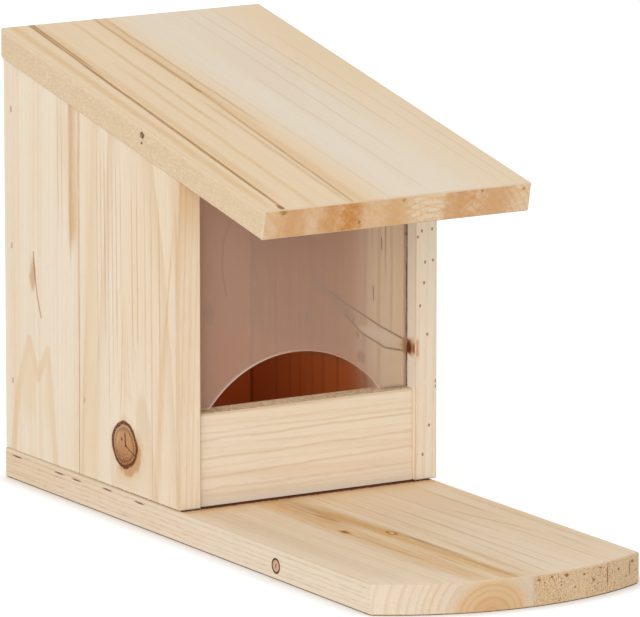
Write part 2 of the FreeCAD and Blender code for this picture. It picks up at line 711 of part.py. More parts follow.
sub_parts = [
    make_base_board(),
    make_side("left_side", -1),
    make_side("right_side", 1),
    make_back_panel(),
    make_front_rail(),
    make_window_pane(),
    make_roof_board(),
    make_side_brads("left_brads", -1),
    make_side_brads("right_brads", 1),
    make_base_brads("base_brads"),
]
for hand_name, hinge_place in (("left", "-" + HINGE_X), ("right", HINGE_X)):
    sub_parts += [
        make_leaf(hand_name + "_hinge_back_leaf", hinge_place, -1),
        make_leaf(hand_name + "_hinge_roof_leaf", hinge_place, 1),
        make_pin(hand_name + "_hinge_pin", hinge_place),
        make_leaf_screws(hand_name + "_hinge_back_screws", hinge_place, -1),
        make_leaf_screws(hand_name + "_hinge_roof_screws", hinge_place, 1),
    ]
doc.recompute()

for thing in doc.Objects:
    if "Invalid" in thing.State or "Error" in thing.State:
        raise RuntimeError(thing.Label + " failed: " + str(thing.State))
for sub_part in sub_parts:
    if sub_part.Shape.isNull() or not sub_part.Shape.isValid():
        raise RuntimeError(sub_part.Label + " has no valid shape")

os.makedirs("parts", exist_ok=True)
for sub_part in sub_parts:
    sub_part.Shape.exportStep("parts/" + sub_part.Label + ".step")
    box = sub_part.Shape.BoundBox
    print(
        "%-26s solids %d  volume %9.1f  x %.2f..%.2f  y %.2f..%.2f  z %.2f..%.2f"
        % (
            sub_part.Label, len(sub_part.Shape.Solids), sub_part.Shape.Volume,
            box.XMin, box.XMax, box.YMin, box.YMax, box.ZMin, box.ZMax,
        )
    )
print("hinge axis y %.3f z %.3f" % (size(HINGE_Y), size(HINGE_Z)))
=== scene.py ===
import inspect
import math

import bpy
from mathutils import Matrix, Vector


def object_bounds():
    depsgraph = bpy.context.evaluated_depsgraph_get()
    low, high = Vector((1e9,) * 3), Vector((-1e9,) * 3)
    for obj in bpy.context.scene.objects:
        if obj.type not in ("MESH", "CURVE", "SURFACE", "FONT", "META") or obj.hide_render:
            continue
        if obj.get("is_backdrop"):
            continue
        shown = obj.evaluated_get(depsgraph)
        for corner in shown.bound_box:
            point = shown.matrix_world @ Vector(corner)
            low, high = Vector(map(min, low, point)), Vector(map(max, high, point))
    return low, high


# A squirrel feeder box of untreated pine on a pale studio floor. The boards, the pane and the
# hinges are the frame's own pieces. This script gives them their wood, plastic and metal.
#
# Places on a board are in millimetres of the row frame: +X right, +Y to the rear, +Z up.

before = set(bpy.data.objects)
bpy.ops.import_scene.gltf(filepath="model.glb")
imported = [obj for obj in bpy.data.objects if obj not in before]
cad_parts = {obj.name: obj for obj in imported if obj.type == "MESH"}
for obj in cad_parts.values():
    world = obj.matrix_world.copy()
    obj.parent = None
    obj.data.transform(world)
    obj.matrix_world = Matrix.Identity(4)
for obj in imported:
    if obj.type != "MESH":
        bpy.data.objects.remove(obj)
cad_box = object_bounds()


# Arithmetic on shader nodes

class Field:
    """A number, colour or point that shader nodes work out. Arithmetic on it adds nodes."""

    def __init__(self, shade, socket):
        self.shade = shade
        self.socket = socket

    def math(self, operation, *others, clamp=False):
        return self.shade.node(
            "ShaderNodeMath", self, *others, operation=operation, use_clamp=clamp
        )

    def __add__(self, other):
        return self.math("ADD", other)

    def __sub__(self, other):
        return self.math("SUBTRACT", other)

    def __mul__(self, other):
        return self.math("MULTIPLY", other)

    def __truediv__(self, other):
        return self.math("DIVIDE", other)

    def __pow__(self, other):
        return self.math("POWER", other)

    def __abs__(self):
        return self.math("ABSOLUTE")

    def over(self, limit):
        """1 where the field is above the limit, and otherwise 0."""
        return self.math("GREATER_THAN", limit)

    def most(self, other):
        return self.math("MAXIMUM", other)

    def least(self, other):
        return self.math("MINIMUM", other)

    def fract(self):
        return self.math("FRACT")

    def clamp(self):
        """Held between 0 and 1."""
        return self.math("ADD", 0.0, clamp=True)

    def rise(self, start, end):
        """Goes smoothly from 0 at start to 1 at end. Start may be above end."""
        return self.shade.node(
            "ShaderNodeMapRange", self, start, end, 0.0, 1.0,
            interpolation_type="SMOOTHSTEP",
        )


class Shade:
    """The node tree of a material or a recipe, put together out of fields."""

    def __init__(self, tree):
        self.tree = tree
        tree.nodes.clear()

    def feed(self, slot, value):
        if isinstance(value, Field):
            self.tree.links.new(value.socket, slot)
        elif value is not None:
            slot.default_value = value

    def node(self, kind, *values, out=0, **settings):
        node = self.tree.nodes.new(kind)
        for name, value in settings.items():
            setattr(node, name, value)
        for slot, value in zip(node.inputs, values):
            self.feed(slot, value)
        return Field(self, node.outputs[out])

    def shader(self, kind, **inputs):
        """A node whose inputs go by name, with _ for a blank."""
        node = self.tree.nodes.new(kind)
        for name, value in inputs.items():
            self.feed(node.inputs[name.replace("_", " ")], value)
        return Field(self, node.outputs[0])

    def place(self):
        """The point on the piece, in metres of the row frame."""
        node = self.tree.nodes.new("ShaderNodeTexCoord")
        return Field(self, node.outputs["Object"])

    def facing(self):
        """The outward direction of the surface, in the row frame."""
        node = self.tree.nodes.new("ShaderNodeTexCoord")
        return Field(self, node.outputs["Normal"])

    def along(self, point, axis):
        return self.node(
            "ShaderNodeVectorMath", point, tuple(axis), operation="DOT_PRODUCT", out="Value"
        )

    def steep(self, facing, axis):
        """1 where the surface looks along the axis, either way."""
        return abs(self.along(facing, axis)).rise(0.7, 0.9)

    def point(self, x, y, z):
        return self.node("ShaderNodeCombineXYZ", x, y, z)

    def noise(self, point, scale=1.0, detail=2.0, rough=0.5):
        """Cloudy noise round 0, from about -0.5 to 0.5."""
        made = self.shader(
            "ShaderNodeTexNoise", Vector=point, Scale=scale, Detail=detail, Roughness=rough
        )
        return made - 0.5

    def cells(self, point, scale=1.0):
        """Distance to the nearest of many scattered points."""
        return self.shader("ShaderNodeTexVoronoi", Vector=point, Scale=scale)

    def mix(self, under, over, amount):
        """One colour laid over another, fully where the amount is 1."""
        node = self.tree.nodes.new("ShaderNodeMix")
        node.data_type = "RGBA"
        self.feed(node.inputs["Factor"], amount)
        for slot, colour in zip(("A", "B"), (under, over)):
            socket = [s for s in node.inputs if s.name == slot and s.type == "RGBA"][0]
            self.feed(socket, colour if isinstance(colour, Field) else (*colour, 1.0))
        socket = [s for s in node.outputs if s.type == "RGBA"][0]
        return Field(self, socket)

    def show(self, surface, kind="ShaderNodeOutputMaterial"):
        """Makes this the surface that the tree gives out."""
        output = self.tree.nodes.new(kind)
        self.tree.links.new(surface.socket, output.inputs["Surface"])


def new_material(name):
    material = bpy.data.materials.new(name)
    material.use_nodes = True
    return material


def recipe(work):
    """Makes a node group of a function of numbers, for the many places that share it."""
    tree = bpy.data.node_groups.new(work.__name__, "ShaderNodeTree")
    names = list(inspect.signature(work).parameters)
    for name in names:
        tree.interface.new_socket(name, in_out="INPUT", socket_type="NodeSocketFloat")
    tree.interface.new_socket("result", in_out="OUTPUT", socket_type="NodeSocketFloat")
    shade = Shade(tree)
    given = tree.nodes.new("NodeGroupInput")
    made = work(*(Field(shade, given.outputs[name]) for name in names))
    shade.feed(tree.nodes.new("NodeGroupOutput").inputs[0], made)
    return tree


def distance(side, length):
    return (side * side + length * length) ** 0.5


@recipe
def streak_shape(
    across, along, lead, follow, fibre, broken, lead_share, follow_share, place, start, slope,
    low, high, feather, width, amount,
):
    """A soft line along the grain with fibrous borders, strongest in its middle."""
    sway = lead * lead_share + follow * follow_share + fibre * width.least(3.0) * 0.9
    apart = abs(across - place - (along - start) * slope + sway)
    inside = along.rise(low - feather, low + feather)
    inside = inside * along.rise(high + feather, high - feather)
    return apart.rise(width, width * 0.15) * inside * broken * amount


@recipe
def scratch_shape(across, along, place, start, run_across, run_along, width):
    """A sharp line from one place to another, in any direction."""
    side = across - place
    length = along - start
    run = run_across * run_across + run_along * run_along
    share = ((side * run_across + length * run_along) / run).clamp()
    apart = distance(side - share * run_across, length - share * run_along)
    return apart.rise(width, width * 0.3)


@recipe
def spot_shape(across, along, place, start, half_width, half_length, ragged, salt):
    """The distance from a spot's middle, 1 at its edge, with a ragged outline."""
    side = (across - place) / half_width
    length = (along - start) / half_length
    shade = side.shade
    rough = shade.noise(shade.point(side * 1.6, length * 1.6, salt), 1.0, 3.0)
    return distance(side, length) + rough * ragged


def give(node_name, material):
    """Puts one material on a node of the frame."""
    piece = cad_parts[node_name]
    piece.data.materials.clear()
    piece.data.materials.append(material)


# The colours of the wood, written as a screen shows them in daylight

def tint(red, green, blue):
    """A screen colour, 0 to 255, in the linear light that shaders use."""
    return tuple(((c / 255 + 0.055) / 1.055) ** 2.4 for c in (red, green, blue))


CREAM = tint(240, 225, 203)
PALE = tint(241, 231, 214)
PEACH = tint(235, 211, 179)
LATE_LINE = tint(203, 160, 110)
AMBER = tint(218, 172, 108)
RUST = tint(192, 116, 56)
TAN = tint(200, 162, 116)
KNOT_TAN = tint(190, 134, 88)
KNOT_BROWN = tint(140, 84, 46)
BARK = tint(86, 42, 18)
CRACK = tint(66, 28, 8)
LINE_BROWN = tint(150, 88, 42)
SOFT_BROWN = tint(184, 140, 90)
HONEY = tint(240, 212, 172)
GREY_STAIN = tint(120, 104, 84)
# Painted shade inside the box: brown, and russet near the floor
INNER_BROWN = tint(186, 124, 82)
INNER_RUSSET = tint(210, 112, 55)

# The colours of the pane, in linear light. The veil over it is haze and painted reflection.

PANE_TINT = (0.755, 0.505, 0.375)
PANE_CLEAR = (0.88, 0.72, 0.55)
PANE_EDGE = (0.93, 0.92, 0.90)

X, Y, Z = Vector((1, 0, 0)), Vector((0, 1, 0)), Vector((0, 0, 1))


# Places on the part that the paint follows, in millimetres

def extent(node_name):
    """The lowest and the highest corner of the box round a node of the frame."""
    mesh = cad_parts[node_name].data
    axes = list(zip(*(vertex.co * 1000 for vertex in mesh.vertices)))
    return Vector([min(axis) for axis in axes]), Vector([max(axis) for axis in axes])


# The inner faces of the two side walls lie WALL_FACE from the middle. The pane stands loose in
# its grooves, with PANE_PLAY before it and behind it.
WALL_FACE = extent("right_side")[0].x
BASE_TOP = extent("base_board")[1].z
RAIL_TOP = extent("front_rail")[1].z
BACK_FACE = extent("back_panel")[0].y
PANE_PLAY = 0.4
GROOVE_FRONT = extent("window_pane")[0].y - PANE_PLAY
GROOVE_REAR = extent("window_pane")[1].y + PANE_PLAY

# Painted shade, with dirt and torn fibres, fills the seam between the walls and the base: fully
# up to SEAM_LOW, and not above SEAM_HIGH.
SEAM_LOW = BASE_TOP + 0.3
SEAM_HIGH = BASE_TOP + 0.55

# Heights where the painted shade inside the box ends. Russet is full up to RUSSET_FULL and gone at
# RUSSET_NONE. Brown is full up to BROWN_FULL and gone at BROWN_NONE at the box's front, and
# both heights sink by BROWN_FALL for each millimetre to the rear.
RUSSET_FULL, RUSSET_NONE = 43.0, 54.0
BROWN_FULL, BROWN_NONE = 122.0, 150.0
BROWN_FALL = 0.265


def fade_below_rim(height, rearward):
    """Painted shade: 1 deep in the box and 0 along its rim. The fade slopes down towards the rear.
    """
    return (height + rearward * BROWN_FALL).rise(BROWN_NONE, BROWN_FULL)


class Timber:
    """The wood of one board: growth rings round a pith, fibres, and what is placed on it.

    A board has its own coordinates in millimetres: across its width, along its grain and
    through its thickness. The places of knots and streaks are (across, along) pairs."""

    def __init__(self, name, across, along, through, seed, origin=(0, 0, 0)):
        self.material = new_material("pine_" + name)
        self.shade = Shade(self.material.node_tree)
        self.seed = seed
        self.name = name
        self.here = self.shade.place()
        start = Vector(origin)
        self.across, self.along, self.through = (
            self.shade.along(self.here, axis * 1000) - start.dot(axis)
            for axis in (across, along, through)
        )
        self.wide = self.across
        self.deep = self.through
        self.facing = self.shade.facing()
        self.faces = {}
        self.end = self.shade.steep(self.facing, along)
        turns = [abs(self.shade.along(self.facing, axis)) for axis in (across, along, through)]
        self.arris = turns[0].most(turns[1]).most(turns[2]).rise(0.83, 0.73)
        self.plain = 1.0
        self.sways = [
            self.shade.noise(self.shade.point(self.along / 26.0, seed + row, 0.0), 1.0, 2.0)
            for row in (0.0, 7.0)
        ]

    def on(self, face):
        """1 on the surfaces that look in the direction given, and 0 elsewhere."""
        key = tuple(face)
        if key not in self.faces:
            self.faces[key] = self.shade.along(self.facing, face).rise(0.75, 0.9)
        return self.faces[key]

    def glue_up(self, joint, sideways, deeper, plain=1.0):
        """Past a glue joint the board is another strip of wood, cut elsewhere."""
        (x0, s0), (x1, s1) = joint
        line = (self.along - s0) * ((x1 - x0) / (s1 - s0)) + x0
        past = self.across.over(line)
        self.wide = self.wide + past * sideways
        self.deep = self.deep + past * deeper
        self.plain = past * (plain - 1.0) + 1.0

    def bend_round(self, place, radius, reach=2.6):
        """Leads the growth rings round a knot, as water flows round a stone."""
        across, along = place
        side = self.across - across
        length = (self.along - along) / reach
        apart = (side * side + length * length).most(radius * radius)
        self.wide = self.wide - side / apart * (radius * radius)

    def grow(self, pith, spacing, rings=0.5, bands=0.8, fibres=0.35, sway=9.0, dim=0.0):
        """Lays down the clean wood. The pith is where the tree's middle was, at along 0, with
        its lean for each millimetre along the grain."""
        shade = self.shade
        wide, deep, lean_wide, lean_deep = pith
        slow = shade.point(
            self.wide * 0.014, self.deep * 0.014 + self.seed, self.along * 0.004
        )
        drift = shade.noise(slow, 1.0, 2.0) * sway
        side = self.wide - wide - self.along * lean_wide + drift
        depth = self.deep - deep - self.along * lean_deep + drift * 0.6
        self.radius = distance(side, depth)
        uneven = shade.noise(shade.point(self.radius * 0.11, self.seed * 1.7, 0.0), 1.0, 1.0)
        season = (self.radius / spacing + uneven * 2.4).fract()
        self.ring = season.rise(0.45, 0.93) * season.rise(1.0, 0.95)
        vigour = shade.noise(
            shade.point(self.radius * 0.16, self.seed + 4.0, self.along * 0.003), 1.0, 2.0
        )
        self.fibre = shade.noise(
            shade.point(self.wide * 1.3, self.deep * 1.3 + self.seed, self.along * 0.022),
            1.0, 3.0, 0.6,
        )
        self.grit = shade.noise(
            shade.point(self.wide * 1.1, self.deep * 1.1, self.along * 0.16 + self.seed),
            1.0, 3.0, 0.7,
        )
        self.speckle = shade.noise(
            shade.point(self.across, self.along, self.through), 1.8, 3.0, 0.7
        )
        self.cloud = shade.noise(
            shade.point(self.across * 0.03, self.through * 0.03 + self.seed, self.along * 0.009),
            1.0, 2.0,
        )
        self.colour = shade.mix(CREAM, PEACH, (vigour + self.cloud * 0.7).rise(-0.14, 0.2) * bands)
        strength = (vigour * 1.6 + 0.6).clamp() * self.plain
        self.paint(LATE_LINE, self.ring * strength * rings)
        self.paint(LATE_LINE, self.fibre.rise(0.03, 0.3) * self.plain * fibres)
        self.paint(TAN, self.grit.rise(0.05, 0.26) * 0.2)
        self.paint(PALE, self.grit.rise(-0.06, -0.26) * 0.4)
        if dim:
            self.paint(LINE_BROWN, dim)
        self.height = self.fibre * 0.5 + self.ring * 0.3 + self.grit
        self.broken = self.grit + self.fibre + 1.0

    def paint(self, colour, amount, face=None):
        if face is not None:
            amount = self.on(face) * amount
        self.colour = self.shade.mix(self.colour, colour, amount)

    def streak(self, start, end, width, colour, amount, wander=1.2, feather=14.0, face=None):
        (x0, s0), (x1, s1) = start, end
        shape = self.shade.node(
            "ShaderNodeGroup", self.across, self.along, *self.sways, self.fibre, self.broken,
            math.cos(x0) * wander, math.sin(x0) * wander, x0, s0, (x1 - x0) / (s1 - s0),
            min(s0, s1), max(s0, s1), feather, width, amount, node_tree=streak_shape,
        )
        self.paint(colour, shape, face)

    def streaks(self, rows, face=None):
        """Paints a row of streaks. Each holds what streak takes, from start to feather."""
        for row in rows:
            self.streak(*row, face=face)

    def crack(self, places, width, colour, amount, face=None):
        """A sharp line through a row of places."""
        shape = None
        for (x0, s0), (x1, s1) in zip(places, places[1:]):
            made = self.shade.node(
                "ShaderNodeGroup", self.across, self.along, x0, s0, x1 - x0, s1 - s0, width,
                node_tree=scratch_shape,
            )
            shape = made if shape is None else shape.most(made)
        self.paint(colour, shape * amount, face)

    def spot(self, place, size, ragged=0.35):
        """The distance from a place, 1 at the size given as half width and half length."""
        return self.shade.node(
            "ShaderNodeGroup", self.across, self.along, *place, *size, ragged,
            self.seed + place[0], node_tree=spot_shape,
        )

    def patch(self, place, size, colour, amount, face=None, ragged=0.35, edge=0.4):
        self.paint(colour, self.spot(place, size, ragged).rise(1.0, edge) * amount, face)

    def dot(self, sideways, upwards, place, size, colour, amount, face):
        """A small mark on an edge of the board, placed by any two of its coordinates."""
        apart = distance((sideways - place[0]) / size[0], (upwards - place[1]) / size[1])
        self.paint(colour, (apart + self.speckle * 1.4).rise(1.0, 0.5) * amount, face)

    def knot(self, place, size):
        """A sound knot with its two bark rings. Gives back the distance from its middle."""
        apart = self.spot(place, size, 0.28)
        speckle = self.speckle
        inside = apart.rise(1.02, 0.95)
        low = (self.along - place[1]).rise(2.0, -6.0)
        self.paint(KNOT_TAN, inside * (low * 0.3 + 0.42))
        rings = (apart * 4.5 + speckle * 2.0).fract().rise(0.5, 0.9)
        self.paint(KNOT_BROWN, rings * inside * 0.16)
        self.paint(KNOT_BROWN, speckle.rise(0.0, 0.14) * inside * (low * 0.6 + 0.3))
        rim = (apart + speckle * 0.12).rise(0.81, 0.9) * apart.rise(1.06, 0.99)
        inner = (apart + speckle * 0.25).rise(0.62, 0.7) * apart.rise(0.84, 0.74)
        self.paint(BARK, (rim + inner * 0.5) * (speckle * 2.4 + 0.9).clamp())
        self.height = self.height - rim * 2.0
        return apart

    def sawn(self, where, colour, amount, size=1.1, holes=0.0):
        """The rough, mottled and pitted look of a saw-cut surface."""
        shade = self.shade
        point = shade.point(self.across, self.along * 0.7, self.through)
        rough = shade.noise(point, size, 3.0, 0.65).rise(-0.16, 0.2) * where
        self.paint(colour, rough * amount)
        self.height = self.height - rough * 3.0
        if holes:
            hole = shade.cells(point, size * 0.7).rise(0.24, 0.1) * where
            self.paint(CRACK, hole * rough * holes)

    def paint_seam(self, height, amount, along_line):
        """Painted shade, with dirt and torn fibres, in the seam between a wall and the base."""
        point = self.shade.point(along_line, height * 0.1, self.seed)
        ragged = self.shade.noise(point, 0.7, 4.0, 0.8)
        band = height.rise(SEAM_HIGH, SEAM_LOW)
        self.paint(BARK, band * (ragged * 2.6 + 0.7).clamp() * amount)

    def darken_inside(self, where, height, below_rim, deep=1.0):
        """Painted shade inside the closed box, warm as where light goes from wood to wood: brown
        well below the rim and russet near the floor."""
        self.paint(INNER_BROWN, where * below_rim)
        self.paint(INNER_RUSSET, where * height.rise(RUSSET_NONE, RUSSET_FULL) * deep)

    def finish(self, end_colour=TAN, end_amount=0.5):
        shade = self.shade
        coarse = shade.noise(self.here, 950.0, 2.0, 0.7)
        end_tone = (coarse * 1.6 + self.ring * 0.3 + 0.5).clamp()
        self.paint(end_colour, self.end * end_tone * end_amount)
        # Painted shade on the chamfered arrises dims the highlight they catch.
        self.paint(TAN, self.arris * 0.45)
        bump = shade.shader(
            "ShaderNodeBump", Strength=0.5, Distance=0.0002,
            Height=self.height + coarse * (self.end * 2.0 + 0.3),
        )
        shade.show(shade.shader(
            "ShaderNodeBsdfPrincipled", Base_Color=self.colour, Roughness=0.75,
            Normal=bump, Specular_IOR_Level=0.1,
        ))
        give(self.name, self.material)


# The boards, each with what the photograph shows on it. Later paint lies over earlier paint.

def near_room(wood):
    """1 on the face of a side panel that looks into the box, and 0 behind it."""
    return abs(wood.through).rise(WALL_FACE + 1.4, WALL_FACE + 0.4)


def make_left_side():
    wood = Timber("left_side", Y, Z, X, 3.0)
    outside, front = -X, -Y
    knot, knot_size = (39.7, 28.8), (9.2, 8.6)
    wood.glue_up(((73.2, 13.5), (76.0, 148.0)), 90.0, 36.0, plain=0.3)
    wood.bend_round(knot, 9.5, 1.8)
    wood.grow((30.0, 60.0, 0.01, 0.02), 2.7, rings=0.34, bands=0.6, fibres=0.22, sway=7.0)
    streak_left_side(wood)
    paint_arched_grain(wood, outside)
    paint_side_knot(wood, knot, knot_size, outside)
    wood.paint_seam(wood.along, wood.across.rise(120.0, 20.0), wood.across)
    wood.paint(HONEY, wood.grit.rise(-0.2, 0.2) * 0.2, front)
    # Painted shadow of the roof's overhang at the top of the front edge.
    wood.paint(AMBER, wood.along.rise(104.0, 128.0) * 0.4, front)
    # Painted shade on the inner face, deep in the box.
    wall = near_room(wood) * wood.across.rise(8.0, 30.0)
    wood.darken_inside(wall * 0.7, wood.along, fade_below_rim(wood.along, wood.across))
    wood.finish(end_amount=0.3)


def streak_left_side(wood):
    """The amber streaks beside the glue line, the line itself, and late wood in front of it."""
    wood.streaks((
        ((77.4, 190.0), (77.6, 99.0), 5.2, AMBER, 0.6, 0.8, 6.0),
        ((78.6, 190.0), (78.6, 96.0), 2.0, TAN, 0.4, 0.8, 6.0),
        ((80.4, 190.0), (79.6, 92.0), 0.8, LATE_LINE, 0.6, 0.4, 6.0),
        ((72.8, 160.0), (73.2, 66.0), 1.2, LATE_LINE, 0.5, 0.6, 8.0),
        ((84.0, 150.0), (83.0, 120.0), 5.0, PEACH, 0.7),
        ((72.8, 74.0), (73.6, 0.0), 0.6, SOFT_BROWN, 0.7, 0.15),
        ((63.0, 150.0), (64.0, 8.0), 7.5, PEACH, 0.7, 2.0),
        ((66.6, 120.0), (66.0, 20.0), 1.4, PEACH, 0.8, 1.0),
    ))
    for number, (across, top, foot) in enumerate((
        (59.5, 142.0, 60.0), (56.8, 138.0, 84.0), (54.0, 136.0, 70.0), (51.3, 134.0, 40.0),
        (48.2, 133.0, 60.0), (45.4, 131.0, 66.0), (42.2, 130.0, 80.0), (34.0, 128.0, 64.0),
        (30.2, 124.0, 70.0), (24.4, 122.0, 50.0), (19.8, 120.0, 12.0), (14.0, 118.0, 60.0),
        (86.2, 150.0, 100.0), (89.0, 150.0, 106.0),
    )):
        amount = 0.3 + 0.09 * (number % 3)
        wood.streak((across, top), (across - 0.6, foot), 0.7, LATE_LINE, amount, wander=0.8)
    wood.streaks((
        ((39.0, 84.0), (39.5, 40.0), 1.8, PEACH, 0.9, 0.5),
        ((40.6, 78.0), (42.4, 40.0), 0.6, LATE_LINE, 0.5, 0.4),
        ((4.0, 112.0), (10.5, 70.0), 1.2, AMBER, 0.4),
        ((10.5, 74.0), (16.5, 12.0), 3.6, AMBER, 0.36),
        ((1.2, 150.0), (1.2, 8.0), 1.4, TAN, 0.3, 0.5),
    ))


def paint_arched_grain(wood, outside):
    """Two arches of rings low on the rear strip, and a torn, feathered place above them."""
    arches = ((124.8, 8.0), (119.6, 36.0), (111.4, 55.7), (104.7, 42.5), (97.0, 53.9), (91.0, 8.0))
    wood.crack(arches, 3.0, AMBER, 0.3, outside)
    wood.patch((112.0, 38.0), (8.0, 18.0), PEACH, 0.7, outside)
    wood.patch((97.0, 36.0), (4.6, 17.0), PEACH, 0.6, outside)
    wood.patch((108.2, 80.5), (3.4, 8.0), TAN, 0.7, outside, ragged=0.9)
    feather = ((107.6, 89.4), (106.9, 82.0), (104.7, 72.6), (102.0, 65.8))
    wood.crack(feather, 0.7, LINE_BROWN, 0.55, outside)


def paint_side_knot(wood, knot, size, outside):
    """The large knot with its resin halo, two checks from its heart, and small spots."""
    halo = wood.spot((37.8, 26.8), (13.6, 14.5), 0.6) + wood.speckle * 0.8
    wood.paint(AMBER, halo.rise(1.0, 0.5) * 0.55, outside)
    wood.paint(KNOT_TAN, wood.spot((37.0, 26.4), (9.8, 9.6), 0.6).rise(1.0, 0.8) * 0.6, outside)
    apart = wood.knot(knot, size)
    low = (wood.along - knot[1]).rise(-1.0, -7.0) * apart.rise(0.9, 0.7)
    wood.paint(BARK, low * (wood.speckle * 3.0 + 0.3).clamp())
    heart = (39.0, 28.6)
    wood.crack((heart, (39.4, 33.2)), 0.55, CRACK, 0.9)
    wood.crack((heart, (31.8, 25.8)), 0.45, BARK, 0.7)
    wood.patch(heart, (0.8, 0.7), CRACK, 0.9)
    wood.patch((41.8, 30.6), (0.8, 0.8), CRACK, 0.8)
    wood.patch((69.4, 40.2), (0.8, 1.6), TAN, 0.8, outside)


def make_right_side():
    wood = Timber("right_side", Y, Z, X, 8.0)
    inside, front = -X, -Y
    wood.glue_up(((70.0, 0.0), (71.0, 150.0)), 60.0, 22.0, plain=0.7)
    wood.grow((20.0, -10.0, 0.01, 0.02), 3.0, rings=0.4, bands=0.45, fibres=0.3, sway=7.0)
    # Painted light: the front edge pales towards the top, against the roof's shadow there.
    wood.paint(CREAM, wood.along.rise(10.0, 110.0) * 0.4 + 0.3, front)
    paint_inner_wall(wood, inside, front)
    paint_inner_stain(wood, inside)
    paint_lip_knot(wood, inside, front)
    wood.paint(PALE, wood.grit.rise(0.1, -0.2) * 0.5, front)
    for place in (
        (46.6, 102.8), (48.3, 104.9), (52.7, 105.2), (53.1, 93.6), (49.7, 93.2), (49.3, 85.4),
        (54.5, 48.0), (54.5, 46.1), (51.6, 31.7), (47.6, 77.0), (50.8, 66.0), (48.8, 21.0),
    ):
        wood.dot(wood.through, wood.along, place, (0.6, 0.8), KNOT_BROWN, 0.8, front)
    wood.paint_seam(wood.along, 0.85, wood.across + wood.through)
    wood.finish(end_amount=0.3)


def paint_inner_wall(wood, inside, front):
    """The wall behind the pane, the lip before it pale with painted light, and the groove between
    them dark with painted shadow.
    """
    room = near_room(wood)
    wall = room * wood.across.rise(GROOVE_REAR - 1.4, GROOVE_REAR + 0.1)
    lip = room * wood.across.rise(GROOVE_FRONT + 0.1, GROOVE_FRONT - 0.1)
    # Painted light on the lip before the pane.
    wood.paint(PALE, lip, inside)
    wood.streak((12.0, 62.0), (10.5, 140.0), 2.4, RUST, 0.3, face=inside)
    # Painted light on the wall near the front, where light comes in through the pane.
    wood.paint(HONEY, wall * wood.across.rise(40.0, 26.0) * 0.8)
    wood.streaks((
        ((17.0, 150.0), (17.0, 60.0), 1.5, KNOT_TAN, 0.4, 2.0),
        ((25.0, 150.0), (26.0, 40.0), 2.2, KNOT_TAN, 0.4, 2.0),
        ((35.0, 150.0), (36.0, 30.0), 3.0, KNOT_BROWN, 0.25, 2.0),
    ), inside)
    below_rim = fade_below_rim(wood.along, wood.across)
    # Painted shade deeper in the box: brown and russet, and darker still near the floor.
    middle = wall * wood.across.rise(34.0, 56.0) * below_rim
    wood.paint(LINE_BROWN, middle * 0.3)
    wood.darken_inside(wall * wood.across.rise(20.0, 56.0), wood.along, below_rim)
    wood.paint(LINE_BROWN, middle * wood.along.rise(RUSSET_FULL, RUSSET_NONE) * 0.78)
    # Painted shadow in the groove.
    groove = wood.on(front) * wood.across.rise(GROOVE_REAR - 0.6, GROOVE_REAR - 0.2)
    wood.paint(KNOT_TAN, groove * 0.5)
    wood.paint(BARK, groove * wood.through.rise(WALL_FACE + 0.8, WALL_FACE + 1.2))
    wood.paint(KNOT_TAN, wall * wood.fibre.rise(-0.1, 0.25) * wood.across.rise(14.0, 50.0) * 0.4)
    for across in (100.0, 90.0, 82.5, 74.0, 66.0):
        wood.streak((across, 150.0), (across, 14.0), 1.3, BARK, 0.16, wander=2.0, face=inside)
    wood.streak((56.0, 150.0), (55.0, 14.0), 1.6, BARK, 0.2, wander=2.0, face=inside)
    # Painted shade in the back corner.
    wood.paint(BARK, wall * wood.across.rise(BACK_FACE - 1.9, BACK_FACE - 0.5) * 0.35)
    wood.streak((21.0, 88.0), (21.5, 140.0), 0.9, LINE_BROWN, 0.6, face=inside)
    wood.streak((30.5, 96.0), (32.0, 140.0), 1.2, KNOT_BROWN, 0.4, face=inside)
    wood.crack(((23.9, 98.6), (23.7, 94.4)), 0.6, CRACK, 0.9, inside)
    wood.crack(((29.8, 79.2), (29.4, 74.6)), 0.65, CRACK, 0.9, inside)


def paint_inner_stain(wood, inside):
    """The spike knot behind the pane: a grey end, a pale middle and two dark outlines."""
    stain = ((72.0, 74.0), (60.0, 71.4), (52.0, 69.0), (45.0, 64.6))
    wood.crack(stain, 3.2, GREY_STAIN, 0.85, inside)
    wood.patch((54.0, 67.6), (10.0, 4.6), GREY_STAIN, 0.6, inside, ragged=0.7)
    wood.patch((26.0, 61.9), (19.0, 3.0), CREAM, 0.8, inside)
    for outline in (
        ((62.0, 72.4), (43.5, 68.7), (24.9, 65.3), (5.0, 62.9)),
        ((50.0, 65.4), (37.7, 60.4), (21.4, 57.8), (5.0, 59.2)),
    ):
        wood.crack(outline, 0.6, CRACK, 0.85, inside)
    wood.patch((77.4, 59.8), (3.4, 2.6), GREY_STAIN, 0.95, inside, ragged=0.8)
    wood.patch((41.0, 59.4), (2.2, 2.0), LINE_BROWN, 0.8, inside)
    wood.patch((38.4, 51.2), (4.4, 3.0), LINE_BROWN, 0.9, inside)


def paint_lip_knot(wood, inside, front):
    """Where the spike knot comes out of the lip: red, ragged, and round the corner."""
    wood.patch((5.0, 61.2), (7.4, 4.4), RUST, 0.9, inside, ragged=1.0)
    wood.patch((5.0, 61.0), (3.4, 3.2), BARK, 0.9, inside, ragged=1.0)
    wood.patch((0.6, 61.0), (1.6, 2.6), LINE_BROWN, 0.9, inside, ragged=1.0)
    ragged = wood.spot((1.0, 61.0), (60.0, 3.8), 0.9)
    corner = wood.through.rise(WALL_FACE + 2.2, WALL_FACE + 0.6)
    wood.paint(RUST, ragged.rise(1.0, 0.6) * corner * 0.8, front)


